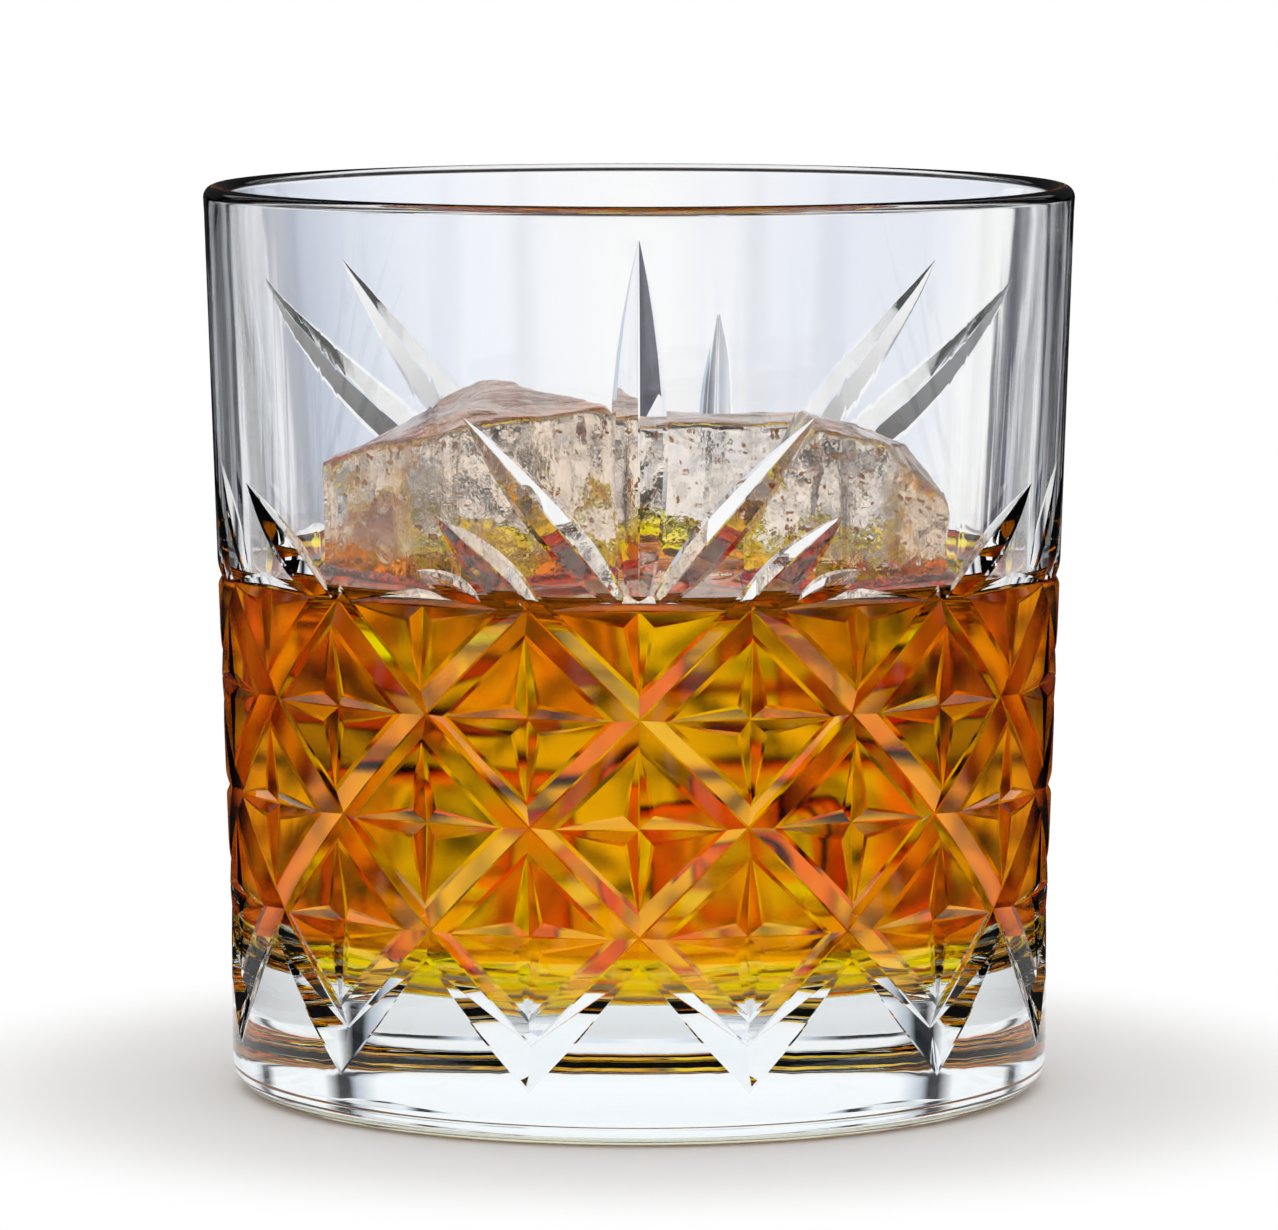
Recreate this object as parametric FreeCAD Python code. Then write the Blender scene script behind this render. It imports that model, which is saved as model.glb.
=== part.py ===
import FreeCAD, Part
import math
import os
from FreeCAD import Vector

# A cut-glass tumbler that holds rum and three blocks of ice that stand out of it.
# Millimetres, +Z up, origin at the centre of the flat ring that the tumbler stands on.
# Angles go round the axis from the front (-Y) towards +X.

# Tumbler, turned section
height = 91.5
rim_radius = 44.0
foot_radius = 41.5
taper_start = 17.0          # below this height the wall is upright
rim_wall = 2.4
rim_band = 2.6              # plain band between the top and the tallest leaf
waist_wall = 4.6            # wall at the height of the floor
floor_height = 13.2         # top of the thick glass base
floor_round = 6.0           # inside corner between the floor and the wall
foot_round = 2.8            # outside corner of the foot
foot_ring = 4.0             # width of the flat ring that meets the table
punt_depth = 0.9            # hollow under the base

# Lattice of V grooves round the wall
columns = 12                # diamonds round the wall
lowest_row = 9.9            # height of the lowest row of crossings
row_pitch = 10.65
rows = 4                    # steps from the lowest to the highest crossings
top_row = lowest_row + rows * row_pitch
groove_width = 3.7
groove_depth = 1.0
chord_parts = 2             # straight lengths between two crossings

# Four-armed star on every diamond
star_gap = 2.4              # left between an arm's tip and the crossing beyond it
star_width = 3.1
star_depth = 0.8

# Zigzag of broad leaves under the lattice
zigzag_drop = 4.4           # from the lowest crossings down to the lower points
zigzag_tip_gap = 3.65       # from an upper tip up to the crossing over it
zigzag_tip_turn = 1.2       # degrees between an upper tip and its crossing's column
zigzag_depth = 0.9
zigzag_width = 3.4
zigzag_ledge = 0.3          # half width of the steep upper side, per unit of depth

# Fans of long leaves over the lattice. The tallest ends a gap below the rim; the others
# reach a share of its rise. Angles are at the leaf's start and tip, on both hands.
leaf_depth = 1.0
tall_leaf_gap = 3.2
tall_leaf_width = 5.0
back_leaf_turn = 168.0
back_leaf_share = 0.61
back_leaf_width = 4.0
fan_leaves = (
    dict(start=1.5, lift=0.0, tip=23.0, share=0.517, width=3.7),
    dict(start=13.0, lift=-0.2, tip=27.3, share=0.249, width=3.6),
    dict(start=21.5, lift=0.9, tip=30.2, share=0.098, width=2.4),
    dict(start=45.0, lift=0.0, tip=64.6, share=0.288, width=3.8),
    dict(start=73.0, lift=0.5, tip=84.0, share=0.316, width=3.6),
    dict(start=163.0, lift=0.0, tip=108.0, share=0.774, width=5.0),
    dict(start=166.0, lift=1.5, tip=131.0, share=0.796, width=4.6),
)
# share of a leaf's length from its start, and share of its full depth there
leaf_swell = ((0.0, 0.35), (0.12, 0.8), (0.42, 1.0), (0.75, 0.66), (1.0, 0.0))

# Rum, up to its level
rum_level = 51.5
rum_clearance = 0.05        # between the rum and the glass, and the rum and the ice

# Blocks of ice that stand out of the rum. Each starts as a box with its middle over (x, y),
# from a depth under the rum's surface to a height over it, turned about its upright. Chips are
# flat breaks, each square to a direction (azimuth and elevation from the block's upright at the
# rum's surface) at a distance from there. The sizes are drawn for one inside radius of the glass
# at the rum's surface, and the blocks, which crowd that space, grow and shrink with it.
ice_round = 1.0
ice_drawn_for = 39.2
ice_blocks = {
    "ice_left": dict(
        x=-16.9, y=-2.0, width=22.0, depth=23.2, under=13.5, over=21.0, turn=40.0,
        chips=((302.0, 85.2, 18.1), (184.8, 68.5, 16.6), (0.0, 35.0, 21.3)),
    ),
    "ice_middle": dict(
        x=9.0, y=19.0, width=22.0, depth=15.0, under=11.5, over=14.3, turn=-4.0,
        chips=((176.0, 45.0, 17.2), (356.0, 45.0, 16.4)),
    ),
    "ice_right": dict(
        x=20.8, y=-6.5, width=14.3, depth=17.1, under=12.5, over=18.5, turn=-44.0,
        chips=((2.0, 72.5, 15.2), (190.0, 25.7, 11.6), (350.0, 36.2, 12.6), (350.0, 12.0, 11.3)),
    ),
}

cutter_reach = 3.0          # how far a cutter stands out over its own valley
cutter_overlap = 0.3        # how far the straight lengths of a groove run past each other


def outer_radius(z):
    rise = (z - taper_start) / (height - taper_start)
    return foot_radius + (rim_radius - foot_radius) * max(rise, 0.0)


def on_wall(angle, z, depth=0.0):
    turn = math.radians(angle)
    radius = outer_radius(z) - depth
    return Vector(radius * math.sin(turn), -radius * math.cos(turn), z)


def outward(angle):
    turn = math.radians(angle)
    return Vector(math.sin(turn), -math.cos(turn), 0)


def point(radius, z):
    return Vector(radius, 0, z)


def turned(edges):
    face = Part.Face(Part.Wire(Part.sortEdges(edges)[0]))
    return face.revolve(Vector(0, 0, 0), Vector(0, 0, 1), 360)


def rounded_corner(before, corner, after, radius):
    # the two tangent points and the middle of the arc that rounds a corner
    to_before = (before - corner).normalize()
    to_after = (after - corner).normalize()
    half = to_before.getAngle(to_after) / 2
    bisector = (to_before + to_after).normalize()
    centre = corner + bisector * (radius / math.sin(half))
    reach = radius / math.tan(half)
    return corner + to_before * reach, centre - bisector * radius, corner + to_after * reach


def cavity_line(clearance=0.0):
    # inside wall and floor, drawn in by a clearance: rim end, three points of the corner, axis end
    rim = point(rim_radius - rim_wall - clearance, height)
    corner = point(foot_radius - waist_wall - clearance, floor_height + clearance)
    centre = point(0, floor_height + clearance)
    start, middle, end = rounded_corner(rim, corner, centre, floor_round)
    return rim, start, middle, end, centre


def tumbler_blank():
    lip = rim_wall / 2
    rim, start, middle, end, centre = cavity_line()
    lip_height = height - lip
    lean = (rim.x - start.x) / (rim.z - start.z)
    inner_lip = point(rim.x - lip * lean, lip_height)
    outer_lip = point(outer_radius(lip_height), lip_height)
    crown = point((inner_lip.x + outer_lip.x) / 2, height)
    band_edge = point(outer_radius(height - rim_band), height - rim_band)
    foot_flat = foot_radius - foot_round
    foot_side = point(foot_radius, foot_round)
    foot_turn = foot_round * (1 - math.sqrt(0.5))
    ring_inside = point(foot_flat - foot_ring, 0)
    punt_top = point(0, punt_depth)
    punt_sphere = (ring_inside.x ** 2 + punt_depth ** 2) / (2 * punt_depth)
    punt_share = math.sqrt(punt_sphere ** 2 - ring_inside.x ** 2 / 4) - punt_sphere
    punt_middle = point(ring_inside.x / 2, punt_depth + punt_share)
    return turned([
        Part.LineSegment(centre, end).toShape(),
        Part.Arc(end, middle, start).toShape(),
        Part.LineSegment(start, inner_lip).toShape(),
        Part.Arc(inner_lip, crown, outer_lip).toShape(),
        Part.LineSegment(outer_lip, band_edge).toShape(),
        Part.LineSegment(band_edge, point(foot_radius, taper_start)).toShape(),
        Part.LineSegment(point(foot_radius, taper_start), foot_side).toShape(),
        Part.Arc(foot_side, point(foot_radius - foot_turn, foot_turn), point(foot_flat, 0)).toShape(),
        Part.LineSegment(point(foot_flat, 0), ring_inside).toShape(),
        Part.Arc(ring_inside, punt_middle, punt_top).toShape(),
        Part.LineSegment(punt_top, centre).toShape(),
    ])


def v_cutter(start, end, normal, left, right, overlap=0.0):
    # prism over a straight valley: left and right are its half widths per unit of depth
    along = (end - start).normalize()
    side = normal.cross(along)
    first = start - along * overlap
    last = end + along * overlap
    top_left = first + (normal + side * left) * cutter_reach
    top_right = first + (normal - side * right) * cutter_reach
    triangle = Part.makePolygon([first, top_left, top_right, first])
    return Part.Face(triangle).extrude(last - first)


def groove_cutters():
    flare = groove_width / 2 / groove_depth
    half_column = 180 / columns
    steps = rows * chord_parts
    cutters = []
    for column in range(columns):
        for hand in (1, -1):
            begin = (2 * column + 1) * half_column
            for step in range(steps):
                angles = [begin + hand * half_column * s / chord_parts for s in (step, step + 1)]
                levels = [top_row - row_pitch * s / chord_parts for s in (step, step + 1)]
                ends = [on_wall(a, z, groove_depth) for a, z in zip(angles, levels)]
                normal = outward(sum(angles) / 2)
                cutters.append(v_cutter(*ends, normal, flare, flare, cutter_overlap))
    return cutters


def star_cutters():
    flare = star_width / 2 / star_depth
    half_column = 180 / columns
    tall = row_pitch - star_gap
    wide = half_column - math.degrees(star_gap / foot_radius)
    cutters = []
    for row in range(rows):
        z = top_row - row * row_pitch
        for column in range(columns):
            angle = (2 * column + row % 2) * half_column
            middle = on_wall(angle, z, star_depth)
            tips = [on_wall(angle, z - tall), on_wall(angle - wide, z), on_wall(angle + wide, z)]
            if row > 0:
                tips.append(on_wall(angle, z + tall))
            for tip in tips:
                cutters.append(v_cutter(middle, tip, outward(angle), flare, flare))
    return cutters


def zigzag_cutters():
    flare = zigzag_width / zigzag_depth
    column_angle = 360 / columns
    low_height = lowest_row - zigzag_drop + zigzag_width
    tip_height = lowest_row + row_pitch - zigzag_tip_gap
    tip_turn = column_angle / 2 - zigzag_tip_turn
    cutters = []
    for column in range(columns):
        angle = (column + 0.5) * column_angle
        low = on_wall(angle, low_height, zigzag_depth)
        for hand in (1, -1):
            tip = on_wall(angle + hand * tip_turn, tip_height)
            flanks = (zigzag_ledge, flare)[::hand]
            normal = outward(angle + hand * column_angle / 4)
            cutters.append(v_cutter(low, tip, normal, *flanks))
    return cutters


def leaf_cutters(start_angle, start_height, tip_angle, tip_height, width):
    flare = width / 2 / leaf_depth
    stations = []
    for share, swell in leaf_swell:
        angle = start_angle + (tip_angle - start_angle) * share
        z = start_height + (tip_height - start_height) * share
        stations.append((angle, on_wall(angle, z, leaf_depth * swell)))
    cutters = []
    for (angle, start), (next_angle, end) in zip(stations, stations[1:]):
        normal = outward((angle + next_angle) / 2)
        cutters.append(v_cutter(start, end, normal, flare, flare, cutter_overlap))
    return cutters


def fan_cutters():
    fan_rise = height - tall_leaf_gap - top_row
    back_tip = top_row + fan_rise * back_leaf_share
    cutters = leaf_cutters(0, top_row, 0, top_row + fan_rise, tall_leaf_width)
    cutters += leaf_cutters(back_leaf_turn, top_row, back_leaf_turn, back_tip, back_leaf_width)
    for leaf in fan_leaves:
        start_height = top_row + leaf["lift"]
        tip_height = top_row + fan_rise * leaf["share"]
        for hand in (1, -1):
            start, tip = hand * leaf["start"], hand * leaf["tip"]
            cutters += leaf_cutters(start, start_height, tip, tip_height, leaf["width"])
    return cutters


def cavity_radius(z, clearance=0.0):
    rim, start, middle, end, centre = cavity_line(clearance)
    return start.x + (rim.x - start.x) * (z - start.z) / (rim.z - start.z)


def rum_body():
    rim, start, middle, end, centre = cavity_line(rum_clearance)
    edge = point(cavity_radius(rum_level, rum_clearance), rum_level)
    surface = point(0, rum_level)
    return turned([
        Part.LineSegment(centre, end).toShape(),
        Part.Arc(end, middle, start).toShape(),
        Part.LineSegment(start, edge).toShape(),
        Part.LineSegment(edge, surface).toShape(),
        Part.LineSegment(surface, centre).toShape(),
    ])


def ice_block(x, y, width, depth, under, over, turn, chips, grow=0.0):
    scale = cavity_radius(rum_level) / ice_drawn_for
    size = Vector(width, depth, under + over) * scale + Vector(2, 2, 2) * grow
    corner = Vector(-size.x / 2, -size.y / 2, -under * scale - grow)
    block = Part.makeBox(size.x, size.y, size.z, corner)
    block.Placement.Rotation = FreeCAD.Rotation(Vector(0, 0, 1), turn)
    span = size.Length
    for azimuth, elevation, distance in chips:
        flat = math.cos(math.radians(elevation))
        away = Vector(
            flat * math.cos(math.radians(azimuth)),
            flat * math.sin(math.radians(azimuth)),
            math.sin(math.radians(elevation)),
        )
        breaker = Part.makeBox(span, span, span, Vector(-span / 2, -span / 2, 0))
        breaker.Placement.Rotation = FreeCAD.Rotation(Vector(0, 0, 1), away)
        breaker.Placement.Base = away * (distance * scale + grow)
        block = block.cut(breaker)
    block = block.removeSplitter()
    block = block.makeFillet(ice_round, block.Edges)
    block.translate(Vector(x, y, 0) * scale + Vector(0, 0, rum_level))
    return block


def save(name, shape):
    solids = shape.Solids
    if len(solids) != 1 or not shape.isValid():
        raise RuntimeError(f"{name} came out as {len(solids)} solids, valid {shape.isValid()}")
    solids[0].exportStep(f"parts/{name}.step")
    print(f"{name}: {solids[0].Volume / 1000:.2f} cm3")


os.makedirs("parts", exist_ok=True)
tumbler = tumbler_blank()
for cutters in (groove_cutters(), star_cutters(), zigzag_cutters(), fan_cutters()):
    tumbler = tumbler.cut(cutters)
save("tumbler", tumbler)
rum = rum_body()
for name, sizes in ice_blocks.items():
    save(name, ice_block(**sizes))
    rum = rum.cut(ice_block(**sizes, grow=rum_clearance))
save("rum", rum)
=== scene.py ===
import math
import random

import bmesh
import bpy
from mathutils import Matrix, Vector, noise
from mathutils.bvhtree import BVHTree


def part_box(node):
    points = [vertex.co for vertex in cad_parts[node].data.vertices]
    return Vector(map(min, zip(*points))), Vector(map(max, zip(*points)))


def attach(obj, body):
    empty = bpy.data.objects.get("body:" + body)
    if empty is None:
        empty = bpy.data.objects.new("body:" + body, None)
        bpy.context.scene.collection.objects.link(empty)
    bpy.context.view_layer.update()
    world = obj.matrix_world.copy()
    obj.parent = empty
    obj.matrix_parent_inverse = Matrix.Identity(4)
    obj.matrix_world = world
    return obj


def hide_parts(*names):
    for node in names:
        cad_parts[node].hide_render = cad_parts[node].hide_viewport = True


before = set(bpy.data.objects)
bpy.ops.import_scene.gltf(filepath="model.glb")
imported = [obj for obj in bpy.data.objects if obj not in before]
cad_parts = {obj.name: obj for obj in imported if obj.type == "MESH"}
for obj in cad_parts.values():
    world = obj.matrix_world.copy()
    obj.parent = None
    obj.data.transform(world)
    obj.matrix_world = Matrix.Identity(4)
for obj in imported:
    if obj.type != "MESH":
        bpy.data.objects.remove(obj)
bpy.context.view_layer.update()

# ---------------------------------------------------------------------------
# The tumbler: one piece of clear pressed glass with wheel-cut V grooves. Its cut band is
# carved flat, as a sheet of glass, then rolled round the wall and joined to the turned lip,
# inside, base and foot. All meshes are drawn in millimetres and scaled once when finished.
mm = 0.001
glass_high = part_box("tumbler")[1] / mm
height = glass_high.z
rim_radius = glass_high.x
foot_radius = rim_radius - 2.5
taper_start = 17.0
rim_wall = 2.4
rim_band = 2.6
waist_wall = 4.6
floor_height = 13.2
floor_round = 6.0
foot_round = 2.8
foot_ring = 4.0
punt_depth = 0.9
rim_wall_radius = rim_radius - rim_wall
waist_radius = foot_radius - waist_wall
wall_lean = (rim_wall_radius - waist_radius) / (height - floor_height)

columns = 12
rows = 4
lowest_row = 9.9
row_pitch = 10.65
top_row = lowest_row + rows * row_pitch
groove_width, groove_depth = 3.7, 1.0
star_width, star_depth, star_gap = 3.1, 0.8, 2.3
zigzag_drop, zigzag_tip_gap, zigzag_depth = 4.4, 3.65, 1.0
zigzag_lip = 0.35
zigzag_tip_turn = math.radians(1.2)
edge_ease = 0.22
valley_ease = 0.1
rise = 0.5

leaf_peak, leaf_depth, leaf_parts = 0.42, 1.0, 10
leaf_start_power, leaf_tip_power = 0.7, 0.85
leaf_gap_below_lip = 3.2
fan_leaves = (
    # start angle, rise over the top row, tip angle, share of the fan's rise, width
    (1.0, -0.5, 23.0, 0.517, 3.7),
    (12.5, -0.7, 27.3, 0.249, 3.6),
    (21.0, 0.7, 30.2, 0.098, 2.4),
    (44.5, -0.5, 64.6, 0.288, 3.8),
    (73.0, 0.0, 84.0, 0.316, 3.6),
    (164.0, -1.0, 108.0, 0.774, 5.0),
    (167.0, -1.0, 131.0, 0.796, 4.6),
)

crisp_from = math.radians(6)
glass_steps = 144
sheet_radius = 41.9
sheet_half = math.pi * sheet_radius
half_column = sheet_half / columns
sheet_low, sheet_high = foot_round, height - rim_band
nothing = 0.02


def outer_radius(z):
    return foot_radius + (rim_radius - foot_radius) * max(z - taper_start, 0) / (height - taper_start)


def section(width, depth, upper=None):
    # outline of a V cut: eased shoulders, straight flanks and a slightly blunt valley
    points = []
    for hand, half in ((-1, width / 2), (1, width / 2 if upper is None else upper)):
        slope = depth / half
        shoulder = min(edge_ease, half / 2)
        valley = min(valley_ease, half / 3)
        side = [
            (half + edge_ease + 2 * rise / slope, rise),
            (half - shoulder, -slope * shoulder),
            (valley, -depth + slope * valley),
        ]
        side = [(hand * across, out) for across, out in side]
        points += side if hand < 0 else side[::-1]
    return points


def add_cutter(bm, outline, stations, across=None):
    # a solid that follows the stations, each a place on the sheet and a size
    (first, scale), (second, _) = stations[:2]
    along = (second - first).normalized()
    side = across or Vector((-along.z, 0, along.x))
    face = bm.faces.new([
        bm.verts.new(first + (side * a + Vector((0, -out, 0))) * scale) for a, out in outline
    ])
    for step, (place, next_scale) in enumerate(stations[1:]):
        grown = bmesh.ops.extrude_face_region(bm, geom=[face])["geom"]
        if step:
            bmesh.ops.delete(bm, geom=[face], context="FACES_ONLY")
        face = next(g for g in grown if isinstance(g, bmesh.types.BMFace))
        move = (
            Matrix.Translation(place)
            @ Matrix.Scale(next_scale / scale, 4)
            @ Matrix.Translation(-first)
        )
        bmesh.ops.transform(bm, matrix=move, verts=face.verts)
        first, scale = place, next_scale


def mesh_object(name, bm):
    mesh = bpy.data.meshes.new(name)
    bm.to_mesh(mesh)
    bm.free()
    piece = bpy.data.objects.new(name, mesh)
    bpy.context.scene.collection.objects.link(piece)
    return piece


def applied(piece):
    # the piece's mesh with its modifiers worked in
    graph = bpy.context.evaluated_depsgraph_get()
    mesh = bpy.data.meshes.new_from_object(piece.evaluated_get(graph), depsgraph=graph)
    piece.modifiers.clear()
    piece.data = mesh
    return piece


def cut_away(piece, bm):
    bmesh.ops.recalc_face_normals(bm, faces=bm.faces)
    tool = mesh_object("cutter", bm)
    cut = piece.modifiers.new("cut", "BOOLEAN")
    cut.operation = "DIFFERENCE"
    cut.solver = "MANIFOLD"
    cut.object = tool
    applied(piece)
    bpy.data.objects.remove(tool)


def on_sheet(angle, z):
    return Vector((math.radians(angle) * sheet_radius, 0, z))


def leaf_size(share):
    # how wide a leaf is at a share of its length: blunt at its root, drawn out to its tip
    if share < leaf_peak:
        return max(math.sin(math.pi / 2 * share / leaf_peak), 0.0) ** leaf_start_power
    past_peak = (share - leaf_peak) / (1 - leaf_peak)
    return max(math.cos(math.pi / 2 * past_peak), 0.0) ** leaf_tip_power


def leaf(start_angle, start_z, tip_angle, tip_z, width):
    start, tip = on_sheet(start_angle, start_z), on_sheet(tip_angle, tip_z)
    shares = [part / leaf_parts for part in range(leaf_parts + 1)]
    stations = [(start.lerp(tip, share), max(leaf_size(share), nothing)) for share in shares]
    bm = bmesh.new()
    add_cutter(bm, section(width, leaf_depth), stations)
    return bm


bm = bmesh.new()
bmesh.ops.create_cube(bm, size=1)
bmesh.ops.scale(bm, vec=(2 * sheet_half + 2 * half_column, 3, sheet_high - sheet_low), verts=bm.verts)
bmesh.ops.translate(bm, vec=(0, 1.5, (sheet_low + sheet_high) / 2), verts=bm.verts)
tumbler = mesh_object("tumbler_glass", bm)

groove = section(groove_width, groove_depth)
run_out = rows * half_column
furthest = sheet_half + 4 * half_column
for hand in (1, -1):
    bm = bmesh.new()
    for column in range(-columns // 2 - rows, columns // 2 + rows + 1):
        start = (2 * column + 1) * half_column
        if min(abs(start), abs(start + hand * run_out)) > furthest:
            continue
        ends = [Vector((start, 0, top_row)), Vector((start + hand * run_out, 0, lowest_row))]
        add_cutter(bm, groove, [(end, 1) for end in ends])
    cut_away(tumbler, bm)

arm = section(star_width, star_depth)
arm_shape = ((-1.0, nothing), (-0.5, 0.56), (0.0, 1.0), (0.5, 0.56), (1.0, nothing))
for reach in (Vector((half_column - star_gap, 0, 0)), Vector((0, 0, row_pitch - star_gap))):
    bm = bmesh.new()
    for row in range(rows):
        for column in range(-columns // 2 - 1, columns // 2 + 2):
            middle = Vector(((2 * column + row % 2) * half_column, 0, top_row - row * row_pitch))
            only_down = row == 0 and reach.z > 0
            shape = arm_shape[2:] if only_down else arm_shape
            hand = -1 if only_down else 1
            add_cutter(bm, arm, [(middle + reach * share * hand, size) for share, size in shape])
    cut_away(tumbler, bm)

zigzag = section(2 * zigzag_drop, zigzag_depth, upper=zigzag_lip)
bm = bmesh.new()
for column in range(-columns // 2 - 1, columns // 2 + 1):
    middle = Vector(((2 * column + 1) * half_column, 0, lowest_row))
    tip = Vector((half_column - zigzag_tip_turn * sheet_radius, 0, row_pitch - zigzag_tip_gap))
    mirrored = Vector((-tip.x, 0, tip.z))
    stations = [
        (middle + mirrored, nothing),
        (middle + mirrored / 2, 0.6),
        (middle, 1.0),
        (middle + tip / 2, 0.6),
        (middle + tip, nothing),
    ]
    add_cutter(bm, zigzag, stations, across=Vector((0, 0, 1)))
cut_away(tumbler, bm)

fan_rise = height - leaf_gap_below_lip - top_row
cut_away(tumbler, leaf(0, top_row - 1, 0, top_row + fan_rise, 5.0))
cut_away(tumbler, leaf(168, top_row - 1, 168, top_row + 0.61 * fan_rise, 4.0))
for start, lift, tip, share, width in fan_leaves:
    for hand in (1, -1):
        tip_z = top_row + share * fan_rise
        cut_away(tumbler, leaf(hand * start, top_row + lift, hand * tip, tip_z, width))

bm = bmesh.new()
bm.from_mesh(tumbler.data)
sheet_back = [face for face in bm.faces if any(v.co.y > 2 for v in face.verts)]
bmesh.ops.delete(bm, geom=sheet_back, context="FACES")
bmesh.ops.remove_doubles(bm, verts=bm.verts, dist=1e-4)
bmesh.ops.dissolve_limit(bm, angle_limit=math.radians(0.4), verts=bm.verts, edges=bm.edges)
for e in bm.edges:
    e.smooth = e.calc_face_angle(0) < crisp_from
for step in range(glass_steps + 1):
    x = sheet_half * (2 * step / glass_steps - 1)
    ends = {0: dict(clear_inner=True), glass_steps: dict(clear_outer=True)}
    bmesh.ops.bisect_plane(
        bm, geom=bm.verts[:] + bm.edges[:] + bm.faces[:], dist=1e-5,
        plane_co=(x, 0, 0), plane_no=(1, 0, 0), **ends.get(step, {}),
    )
for v in bm.verts:
    turn = v.co.x / sheet_radius
    radius = outer_radius(v.co.z) - v.co.y
    v.co = Vector((radius * math.sin(turn), -radius * math.cos(turn), v.co.z))


def arc(centre, radius, begin, finish, parts):
    turns = [math.radians(begin + (finish - begin) * part / parts) for part in range(parts + 1)]
    return [(centre[0] + radius * math.cos(t), centre[1] + radius * math.sin(t)) for t in turns]


def wall_point(z, grow=0.0):
    # radius of the inside at a height
    return waist_radius + wall_lean * (z - floor_height) + grow


def inside_corner(grow=0.0):
    # the rounded corner between the wall and the floor, from wall to floor
    lean = math.atan(wall_lean)
    centre_z = floor_height + floor_round
    centre_radius = waist_radius + (floor_round * math.tan(lean)) - floor_round / math.cos(lean)
    return arc((centre_radius, centre_z), floor_round + grow, -math.degrees(lean), -90, 8)


def turned(bm, outline, steps):
    # a line of (radius, height) points turned all the way round the axis, from behind
    points = [bm.verts.new((0, radius, z)) for radius, z in outline]
    edges = [bm.edges.new(pair) for pair in zip(points, points[1:])]
    bmesh.ops.spin(
        bm, geom=points + edges, cent=(0, 0, 0), axis=(0, 0, 1), dvec=(0, 0, 0),
        angle=2 * math.pi, steps=steps, use_merge=True,
    )


lip = rim_wall / 2
band_top = (outer_radius(sheet_high), sheet_high)
lip_arc = arc((rim_radius - lip, height - lip), lip, 0, 180, 12)
lip_end = height - 6
wet_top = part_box("rum")[1].z / mm + 2.2
wet_low = floor_height + 4
wall_line = [(wall_point(z), z) for z in (lip_end, wet_top)]
turned(bm, [band_top] + lip_arc + wall_line + inside_corner() + [(0, floor_height)], glass_steps)
punt_edge = foot_radius - foot_round - foot_ring
punt_sphere = (punt_edge ** 2 + punt_depth ** 2) / (2 * punt_depth)
punt_half = math.degrees(math.asin(punt_edge / punt_sphere))
punt = arc((0, punt_depth - punt_sphere), punt_sphere, 90, 90 - punt_half, 8)
foot = arc((foot_radius - foot_round, foot_round), foot_round, -90, 0, 6)
turned(bm, punt + foot, glass_steps)
bmesh.ops.remove_doubles(bm, verts=bm.verts, dist=2e-3)
bmesh.ops.holes_fill(bm, edges=bm.edges, sides=8)
bmesh.ops.recalc_face_normals(bm, faces=bm.faces)
wet_faces = []
for f in bm.faces:
    f.smooth = True
    middle = f.calc_center_median()
    inside = math.hypot(middle.x, middle.y) < wall_point(middle.z, 0.1)
    wet_faces.append(int(inside and wet_low < middle.z < wet_top))
bmesh.ops.scale(bm, vec=(mm, mm, mm), verts=bm.verts)
bm.to_mesh(tumbler.data)
bm.free()


class Wire:
    # a node's output that can be worked with in plain arithmetic
    def __init__(self, shade, socket):
        self.shade, self.socket = shade, socket

    def maths(self, operation, *values):
        return self.shade.node("ShaderNodeMath", dict(operation=operation), *values)

    def __add__(self, other):
        return self.maths("ADD", self, other)

    def __sub__(self, other):
        return self.maths("SUBTRACT", self, other)

    def __rsub__(self, other):
        return self.maths("SUBTRACT", other, self)

    def __mul__(self, other):
        return self.maths("MULTIPLY", self, other)

    def __truediv__(self, other):
        return self.maths("DIVIDE", self, other)

    __radd__, __rmul__ = __add__, __mul__


class Shade:
    # the node tree of a material or of the world
    def __init__(self, owner):
        owner.use_nodes = True
        self.tree = owner.node_tree
        self.tree.nodes.clear()

    def node(self, kind, settings=None, *values, output=0, at=None, **named):
        # settings first, then sockets in order, by number and by name
        made = self.tree.nodes.new(kind)
        for key, value in (settings or {}).items():
            if key == "stops":
                elements = made.color_ramp.elements
                while len(elements) < len(value):
                    elements.new(0.5)
                for element, (place, colour) in zip(elements, value):
                    element.position, element.color = place, (*colour, 1)
            else:
                setattr(made, key, value)
        by_name = {key.replace("_", " "): value for key, value in named.items()}
        for key, value in {**dict(enumerate(values)), **(at or {}), **by_name}.items():
            if isinstance(value, Wire):
                self.tree.links.new(value.socket, made.inputs[key])
            else:
                made.inputs[key].default_value = value
        return Wire(self, made.outputs[output]) if made.outputs else made

    def step(self, value, low, high, start=0.0, end=1.0):
        smooth = dict(interpolation_type="SMOOTHSTEP")
        return self.node("ShaderNodeMapRange", smooth, value, low, high, start, end)

    def blend(self, share, first, second, way="MIX"):
        settings = dict(data_type="RGBA", blend_type=way)
        return self.node("ShaderNodeMix", settings, share, at={6: first, 7: second}, output=2)

    def surface(self, shader, volume=None):
        inside = {"Volume": volume} if volume else {}
        self.node("ShaderNodeOutputMaterial", None, Surface=shader, **inside)


glass_index = 1.52
glass_tint = dict(Color=(0.75, 0.92, 1.0, 1), Density=4.0)

glass = bpy.data.materials.new("clear_cut_glass")
shade = Shade(glass)
place = shade.node("ShaderNodeTexCoord", output="Object")
ripple = shade.node("ShaderNodeTexNoise", None, place, Scale=55.0, Detail=2.0, Roughness=0.5)
wave = shade.node("ShaderNodeBump", None, Strength=0.06, Distance=0.0006, Height=ripple)
body = shade.node(
    "ShaderNodeBsdfPrincipled", None, Base_Color=(1, 1, 1, 1), Roughness=0.0, IOR=glass_index,
    Transmission_Weight=1.0, Normal=wave,
)
shade.surface(body, shade.node("ShaderNodeVolumeAbsorption", None, **glass_tint))

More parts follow.
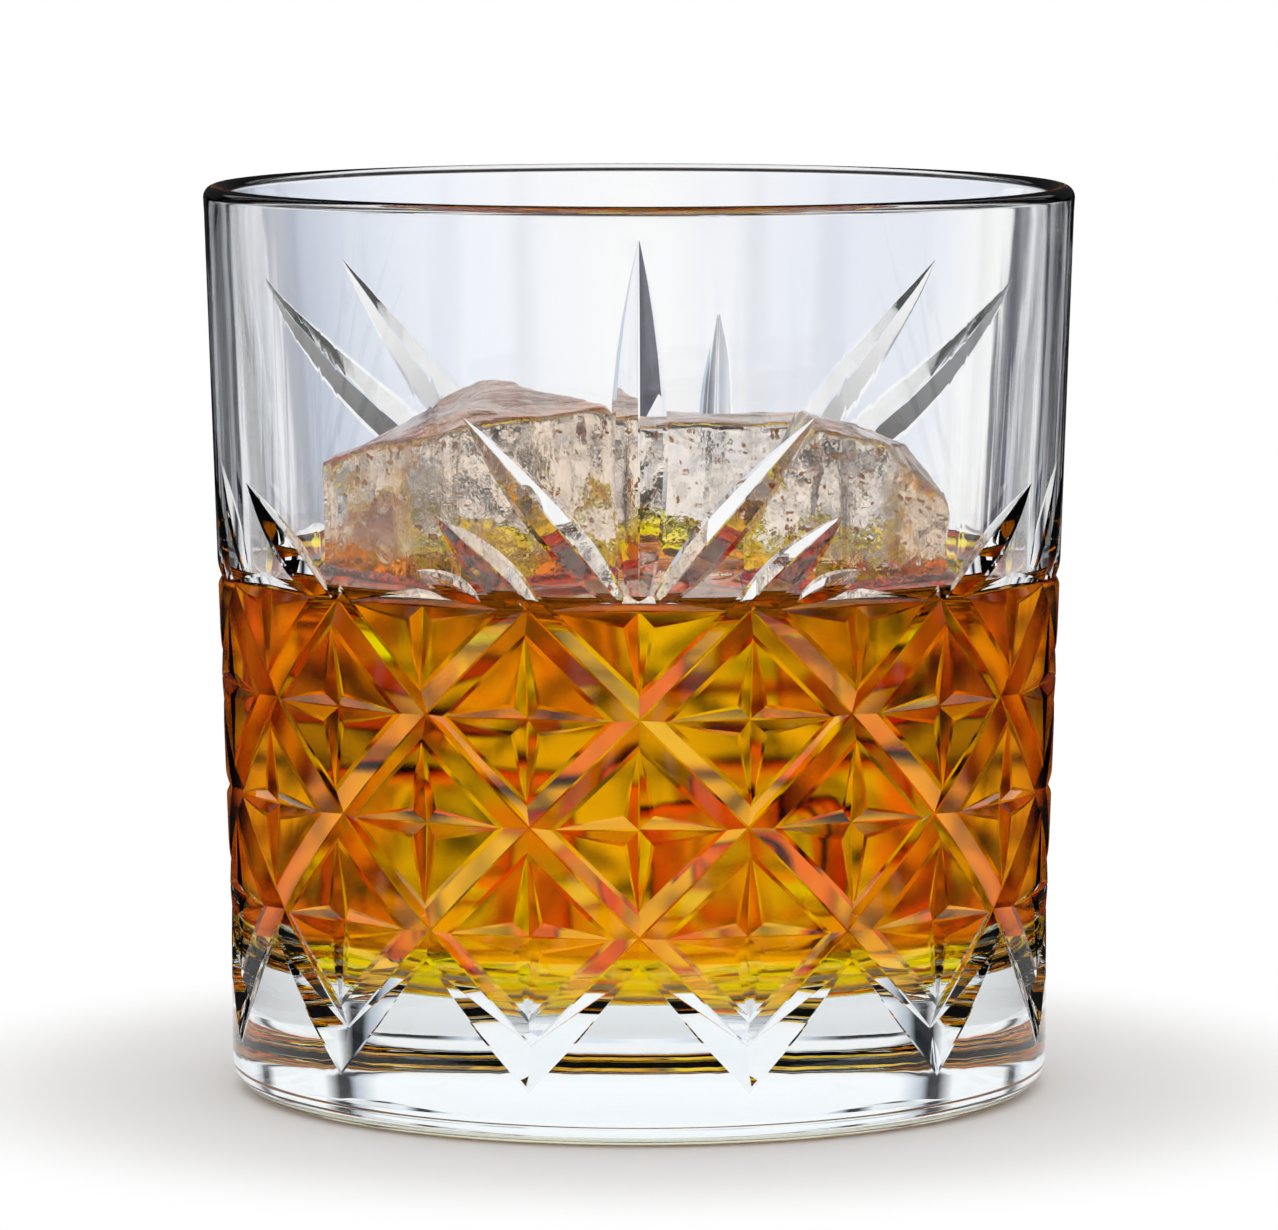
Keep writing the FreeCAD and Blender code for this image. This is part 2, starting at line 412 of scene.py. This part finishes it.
# where the drink touches the wall the light passes on with no mirror between them
wet_glass = bpy.data.materials.new("glass_under_rum")
shade = Shade(wet_glass)
body = shade.node(
    "ShaderNodeBsdfRefraction", None, Color=(1, 1, 1, 1), Roughness=0.0, IOR=glass_index,
)
shade.surface(body, shade.node("ShaderNodeVolumeAbsorption", None, **glass_tint))

tumbler.data.materials.clear()
tumbler.data.materials.append(glass)
tumbler.data.materials.append(wet_glass)
tumbler.data.polygons.foreach_set("material_index", wet_faces)
even = tumbler.modifiers.new("even_facets", "WEIGHTED_NORMAL")
even.mode = "FACE_AREA"
even.weight = 100
even.keep_sharp = True
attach(tumbler, "root")
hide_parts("tumbler")

# ---------------------------------------------------------------------------
# The ice: clear blocks with cloudy hearts, frozen in a tray and a little melted, so that their
# faces are dimpled and their edges soft. Three stand out of the drink, among three that have sunk.
rum_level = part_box("rum")[1].z / mm
ice_grain = 0.7
dimple, dimple_size = 0.55, 7.0
pit, pit_size = 0.16, 2.2
melted_off = 0.25
sunk_places = (
    # centre, size, turn in degrees
    ((-15, -6, 25.4), (18.5, 17.5, 19.5), 20),
    ((8.5, -11, 24.0), (16.5, 15.5, 17.0), -15),
    ((12, 12.5, 25.2), (17.0, 16.0, 19.0), 34),
)
corner_wander = (-1.4, 0.4)
sunk_edge = 2.6
heart_depth = 3.0
heart_start, heart_full = 1, 6


def melted(piece):
    # evens out the mesh of a block, then dimples its faces as melting does
    even_mesh = piece.modifiers.new("even_mesh", "REMESH")
    even_mesh.mode = "VOXEL"
    even_mesh.voxel_size = ice_grain
    applied(piece)
    bm = bmesh.new()
    bm.from_mesh(piece.data)
    bmesh.ops.smooth_vert(bm, verts=bm.verts, factor=0.5, use_axis_x=True, use_axis_y=True, use_axis_z=True)
    bm.normal_update()
    shift = {}
    for v in bm.verts:
        wide = noise.noise(v.co / dimple_size) * dimple
        fine = noise.noise(v.co / pit_size + Vector((7, 3, 1))) * pit
        shift[v] = v.normal * (wide + fine - melted_off)
    for v, move in shift.items():
        v.co += move
    for f in bm.faces:
        f.smooth = True
    bm.to_mesh(piece.data)
    bm.free()
    return piece


def shrunk(block, depth):
    # a block's mesh drawn in from its faces
    bm = bmesh.new()
    bm.from_mesh(block.data)
    bm.normal_update()
    for v, move in [(v, v.normal * -depth) for v in bm.verts]:
        v.co += move
    return bm


def sized(piece, factor):
    bm = bmesh.new()
    bm.from_mesh(piece.data)
    bmesh.ops.scale(bm, vec=(factor, factor, factor), verts=bm.verts)
    bm.to_mesh(piece.data)
    bm.free()


standing_blocks = {}
for name in ("ice_left", "ice_middle", "ice_right"):
    bm = bmesh.new()
    bm.from_mesh(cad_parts[name].data)
    bmesh.ops.remove_doubles(bm, verts=bm.verts, dist=1e-6)
    bmesh.ops.scale(bm, vec=(1 / mm, 1 / mm, 1 / mm), verts=bm.verts)
    standing_blocks[name] = melted(mesh_object(name + "_block", bm))

chance = random.Random(12)
sunk_blocks = []
for number, (centre, lengths, turn) in enumerate(sunk_places, 1):
    bm = bmesh.new()
    bmesh.ops.create_cube(bm, size=1)
    bmesh.ops.scale(bm, vec=lengths, verts=bm.verts)
    for v in bm.verts:
        v.co += Vector([chance.uniform(*corner_wander) * math.copysign(1, c) for c in v.co])
    bmesh.ops.bevel(
        bm, geom=bm.edges, offset=sunk_edge, segments=3, profile=0.5, affect="EDGES", material=-1,
    )
    spin = Matrix.Rotation(math.radians(turn), 3, "Z")
    bmesh.ops.rotate(bm, cent=(0, 0, 0), matrix=spin, verts=bm.verts)
    bmesh.ops.translate(bm, vec=centre, verts=bm.verts)
    sunk_blocks.append(melted(mesh_object(f"sunk_ice_{number}", bm)))

ice_index = 1.31
ice = bpy.data.materials.new("clear_ice")
shade = Shade(ice)
place = shade.node("ShaderNodeTexCoord", output="Object")
broad = shade.node("ShaderNodeTexNoise", None, place, Scale=260.0, Detail=4.0, Roughness=0.6)
frost = shade.node("ShaderNodeTexNoise", None, place, Scale=900.0, Detail=2.0, Roughness=0.5)
dent = shade.node("ShaderNodeBump", None, Strength=0.3, Distance=0.0009, Height=broad + frost * 0.25)
body = shade.node(
    "ShaderNodeBsdfPrincipled", None, Base_Color=(1, 1, 1, 1), Roughness=0.03, IOR=ice_index,
    Transmission_Weight=1.0, Normal=dent,
)
# the ice is tinted amber through its whole depth
ice_volume_tint = shade.node("ShaderNodeVolumeAbsorption", None, Color=(0.95, 0.6, 0.2, 1), Density=20.0)
shade.surface(body, ice_volume_tint)

wet_ice = bpy.data.materials.new("sunken_ice")
shade = Shade(wet_ice)
body = shade.node("ShaderNodeBsdfRefraction", None, Color=(1, 1, 1, 1), Roughness=0.0, IOR=ice_index)
shade.surface(body)

hearts = []
for name, block in standing_blocks.items():
    bm = shrunk(block, heart_depth)
    bmesh.ops.scale(bm, vec=(mm, mm, mm), verts=bm.verts)
    hearts.append(mesh_object(name.replace("ice", "cloud"), bm))

cloud = bpy.data.materials.new("cloudy_ice")
shade = Shade(cloud)
place = shade.node("ShaderNodeTexCoord", output="Object")
wisps = shade.node(
    "ShaderNodeTexNoise", None, place, Scale=300.0, Detail=6.0, Roughness=0.68, Distortion=0.6,
)
up = shade.node("ShaderNodeSeparateXYZ", None, place, output="Z")
above_rum = shade.step(up, (rum_level + heart_start) * mm, (rum_level + heart_full) * mm)
body = shade.node(
    "ShaderNodeBsdfPrincipled", None, Base_Color=(0.86, 0.87, 0.9, 1), Roughness=0.8,
    Alpha=shade.step(wisps, 0.46, 0.7, 0.0, 0.35) * above_rum,
)
shade.surface(body)
for heart in hearts:
    heart.data.materials.append(cloud)
    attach(heart, "root")

# the bubbles frozen into the standing blocks, and amber flecks above the drink that paint in the golden
# glints of the rum seen refracted through the ice
bubble = bpy.data.materials.new("ice_bubble")
shade = Shade(bubble)
shade.surface(shade.node(
    "ShaderNodeBsdfPrincipled", None, Base_Color=(1, 1, 1, 1), Roughness=0.0, IOR=1.9,
    Transmission_Weight=1.0,
))
# painted glints: small amber beads in the ice stand in for the rum's colour refracted through the blocks
rum_glint_paint = bpy.data.materials.new("painted_rum_glints")
shade = Shade(rum_glint_paint)
shade.surface(shade.node(
    "ShaderNodeBsdfPrincipled", None, Base_Color=(0.9, 0.42, 0.06, 1), Roughness=0.2, IOR=1.6,
    Transmission_Weight=0.7,
))
nearest_face, deepest = 0.9, 4.5
specks = (
    # name, how many, least and greatest radius, how flat, material, slot
    ("ice_bubbles", 150, (0.16, 0.42), 0.9, bubble, "ice"),
    ("rum_flecks", 170, (0.2, 0.6), 0.35, rum_glint_paint, "rum"),
)


def surface_tree(block):
    corners = [v.co for v in block.data.vertices]
    return BVHTree.FromPolygons(corners, [p.vertices for p in block.data.polygons])


speck_seed = random.Random(31)
for name, count, sizes, squash, finish, slot in specks:
    bm = bmesh.new()
    for block in standing_blocks.values():
        tree = surface_tree(block)
        low = Vector([min(v.co[axis] for v in block.data.vertices) for axis in range(3)])
        high = Vector([max(v.co[axis] for v in block.data.vertices) for axis in range(3)])
        low.z = rum_level + 1
        placed, share = 0, count / len(standing_blocks)
        while placed < share:
            spot = Vector([speck_seed.uniform(*ends) for ends in zip(low, high)])
            near, facing, _, gap = tree.find_nearest(spot)
            if (near - spot).dot(facing) < 0 or not nearest_face < gap < deepest:
                continue
            placed += 1
            radius = speck_seed.uniform(*sizes)
            made = bmesh.ops.create_icosphere(bm, subdivisions=1, radius=radius)["verts"]
            bmesh.ops.scale(bm, vec=(1, speck_seed.uniform(squash, 1), squash), verts=made)
            spin_turn = speck_seed.uniform(0, math.pi)
            spin = Matrix.Rotation(spin_turn, 3, Vector((speck_seed.uniform(-1, 1), 1, 1)))
            bmesh.ops.rotate(bm, cent=(0, 0, 0), matrix=spin, verts=made)
            bmesh.ops.translate(bm, vec=spot, verts=made)
    bmesh.ops.scale(bm, vec=(mm, mm, mm), verts=bm.verts)
    for f in bm.faces:
        f.smooth = True
    piece = mesh_object(name, bm)
    piece.data.materials.append(finish)
    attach(piece, "root")

# ---------------------------------------------------------------------------
# The rum: it fills the inside to its level, creeps up the glass and the ice at its edge, and is
# a little larger than the space it fills, so that the rum shares one boundary with each.
into_wall = 0.12
into_ice = 0.12
wall_creep, wall_reach = 2.2, 1.6
ice_creep, ice_reach = 1.3, 1.2
first_ring, last_ring, ring_growth = 0.15, 0.6, 1.12
rum_steps = 288
hair = 0.01

bm = bmesh.new()
edge_radius = wall_point(rum_level, into_wall)
surface, ring = [(edge_radius, rum_level)], first_ring
while surface[0][0] > ring:
    surface.insert(0, (surface[0][0] - ring, rum_level))
    ring = min(ring * ring_growth, last_ring)
under = inside_corner(into_wall) + [(0, floor_height - into_wall)]
turned(bm, [(0, rum_level)] + surface + under, rum_steps)
bmesh.ops.remove_doubles(bm, verts=bm.verts, dist=2e-3)
above = [surface_tree(block) for block in standing_blocks.values()]
for v in bm.verts:
    if v.co.z > rum_level - hair:
        gap = min(tree.find_nearest(v.co)[3] for tree in above)
        outward = math.hypot(v.co.x, v.co.y)
        v.co.z += (
            wall_creep * math.exp(-(edge_radius - outward) / wall_reach)
            + ice_creep * math.exp(-gap / ice_reach)
        )
        if outward > edge_radius - hair:
            stretch = wall_point(v.co.z, into_wall) / outward
            v.co.x, v.co.y = v.co.x * stretch, v.co.y * stretch
bmesh.ops.recalc_face_normals(bm, faces=bm.faces)
rum = mesh_object("rum_fill", bm)
for block in [*standing_blocks.values(), *sunk_blocks]:
    cut_away(rum, shrunk(block, into_ice))
rum.data.shade_smooth()
rum.data.set_sharp_from_angle(angle=math.radians(50))
sized(rum, mm)

rum_index = 1.36
rum_tint = dict(Color=(1.0, 0.981, 0.0, 1), Density=600.0)

spirit = bpy.data.materials.new("golden_rum")
shade = Shade(spirit)
body = shade.node(
    "ShaderNodeBsdfPrincipled", None, Base_Color=(1, 1, 1, 1), Roughness=0.0, IOR=rum_index,
    Transmission_Weight=1.0,
)
shade.surface(body, shade.node("ShaderNodeVolumeAbsorption", None, **rum_tint))

# against the glass it is seen without a mirror, and its refraction is tinted redder where the wall turns
# away: painted shade for the darker, redder sides of the drink
rum_sides_painted_shade = bpy.data.materials.new("rum_against_glass_painted_shade")
shade = Shade(rum_sides_painted_shade)
grazing = shade.node("ShaderNodeLayerWeight", None, Blend=0.5, output="Facing")
side_shade_hues = (
    # how far the wall is turned away, colour of the painted shade
    (0.0, (1, 1, 1, 1)),
    (0.1, (1, 0.92, 0.6, 1)),
    (0.4, (1, 0.45, 0.15, 1)),
    (0.85, (0.98, 0.24, 0.05, 1)),
    (1.0, (0.75, 0.15, 0.03, 1)),
)
body, last = None, 0.0
for away, hue in side_shade_hues:
    layer = shade.node("ShaderNodeBsdfRefraction", None, Color=hue, Roughness=0.16, IOR=rum_index)
    if body:
        more = shade.node("ShaderNodeMapRange", None, grazing, last, away, 0.0, 1.0)
        layer = shade.node("ShaderNodeMixShader", None, more, body, layer)
    body, last = layer, away
shade.surface(body, shade.node("ShaderNodeVolumeAbsorption", None, **rum_tint))

rum.data.materials.clear()
rum.data.materials.append(spirit)
rum.data.materials.append(rum_sides_painted_shade)
for p in rum.data.polygons:
    z = p.center.z / mm
    on_wall = math.hypot(p.center.x, p.center.y) / mm > wall_point(z, into_wall - 0.04)
    touching = z < rum_level - 0.2 or on_wall or p.normal.z < 0.2
    p.material_index = int(touching and z >= wet_low)
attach(rum, "root")
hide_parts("rum")

# the blocks are finished once the drink has been cut round them
for name, block in standing_blocks.items():
    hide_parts(name)
for block in [*standing_blocks.values(), *sunk_blocks]:
    sized(block, mm)
    block.data.materials.clear()
    block.data.materials.append(ice)
    block.data.materials.append(wet_ice)
    for p in block.data.polygons:
        p.material_index = int(p.center.z < rum_level * mm)
    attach(block, "root")

# ---------------------------------------------------------------------------
# The studio: a white table under an even white sky. Dark flags stand round the glass, and a dark
# strip runs low on its four sides, so that the cuts have something to bend: clear glass shows
# only what stands round it.
floor_radius, floor_fade = 0.085, 0.03
white = (1, 1, 1)
bm = bmesh.new()
bmesh.ops.create_circle(bm, cap_ends=True, segments=96, radius=floor_radius)
floor = mesh_object("floor", bm)
paint = bpy.data.materials.new("white_table")
shade = Shade(paint)
place = shade.node("ShaderNodeTexCoord", output="Object")
outward = shade.node("ShaderNodeVectorMath", dict(operation="LENGTH"), place, output="Value")
camera_ray = shade.node("ShaderNodeLightPath", output="Is Camera Ray")
plain = shade.node("ShaderNodeBsdfDiffuse", None, (0.97, 0.97, 0.97, 1))
glow = shade.node("ShaderNodeEmission", None, (*white, 1), 1.0)
edge = shade.step(outward, floor_radius - floor_fade, floor_radius) * camera_ray
shade.surface(shade.node("ShaderNodeMixShader", None, edge, plain, glow))
floor.data.materials.append(paint)

card = (0.02, 0.022, 0.028)
band_card = (0.03, 0.033, 0.04)
thin_card = (0.1, 0.1, 0.13)
pale = (0.8, 0.83, 0.9)
haze = (0.8, 0.84, 0.93)
bright = (0.9, 0.93, 0.97)
streaks = (
    # degrees to the right of straight behind the glass, colour
    (-45, white), (-33, bright), (-27, card), (-20, card), (-15, pale), (-11.6, (0.95, 0.96, 1)),
    (-9.7, (0.36, 0.37, 0.43)), (-7.5, (0.47, 0.53, 0.65)), (-2.9, (0.88, 0.92, 1)), (0, white),
    (2.9, haze), (5, haze), (8, white), (9.9, white), (11, thin_card), (14, thin_card), (16, pale),
    (20, card), (27, card), (33, bright), (45, white),
)
flags = (
    # share of the way from a side to a corner, colour
    (0.0, white), (0.62, white), (0.7, (0.5, 0.54, 0.6)), (0.73, card), (0.77, card), (0.84, white),
)
low_strip = (
    # height from straight down, 0, to straight up, 1, colour
    (0.30, white), (0.345, band_card), (0.40, band_card), (0.428, white),
)
world = bpy.data.worlds.new("studio")
bpy.context.scene.world = world
shade = Shade(world)
aim = shade.node("ShaderNodeTexCoord", output="Generated")
split = shade.node("ShaderNodeSeparateXYZ", None, aim)
x, y, z = (Wire(shade, socket) for socket in split.socket.node.outputs)
right_angle, corner_angle = math.radians(90), math.radians(45)
turn = x.maths("ARCTAN2", x, y) / right_angle
tilt = z.maths("ARCSINE", z) / right_angle
quarter = turn.maths("PINGPONG", turn, 0.5) * right_angle
streak_stops = [(degrees / 90 + 0.5, colour) for degrees, colour in streaks]
behind = shade.node("ShaderNodeValToRGB", dict(stops=streak_stops), turn + 0.5)
around = shade.node("ShaderNodeValToRGB", dict(stops=flags), quarter / corner_angle)
strip = shade.node("ShaderNodeValToRGB", dict(stops=low_strip), tilt * 0.5 + 0.5)
level = shade.step(tilt, -13 / 90, -9 / 90) * shade.step(tilt, 0.0, 4 / 90, 1.0, 0.0)
seen_level = shade.blend(level, (*white, 1), behind)
flagged = shade.blend(1.0, around, seen_level, "MULTIPLY")
facing_side = shade.step(quarter, math.radians(26), math.radians(35), 1.0, 0.0)
look = shade.blend(facing_side, flagged, strip, "MULTIPLY")

# camera and diffuse rays see plain white, and mirrored rays see little but four soft boxes
bent = shade.node("ShaderNodeLightPath", output="Is Transmission Ray")
gloss = shade.node("ShaderNodeLightPath", output="Is Glossy Ray")
colour = shade.blend(1 - bent.maths("MAXIMUM", bent, gloss), look, (*white, 1))
box_up = shade.step(z, 0.25, 0.32) * shade.step(z, 0.62, 0.7, 1.0, 0.0)
box_left = shade.step(quarter, math.radians(22), math.radians(26))
box_right = shade.step(quarter, math.radians(37), math.radians(40), 1.0, 0.0)
mirrored = 0.03 + 0.6 * (box_up * (box_left * box_right))
strength = 1 - gloss * (1 - bent) * (1 - mirrored)
back = shade.node("ShaderNodeBackground", None, colour, strength)
shade.node("ShaderNodeOutputWorld", None, Surface=back)

scene = bpy.context.scene
scene.cycles.max_bounces = 16
scene.cycles.transmission_bounces = 16
scene.cycles.transparent_max_bounces = 16
scene.cycles.adaptive_threshold = 0.2
scene.view_settings.view_transform = "Standard"
camera = bpy.data.objects.new("camera", bpy.data.cameras.new("camera"))
scene.collection.objects.link(camera)
camera.data.lens = 221.7
camera.data.sensor_width = 36.0
camera.location = (0, -0.7945, 0.132)
camera.rotation_euler = (math.radians(90 - 6.054), 0, 0)
scene.camera = camera
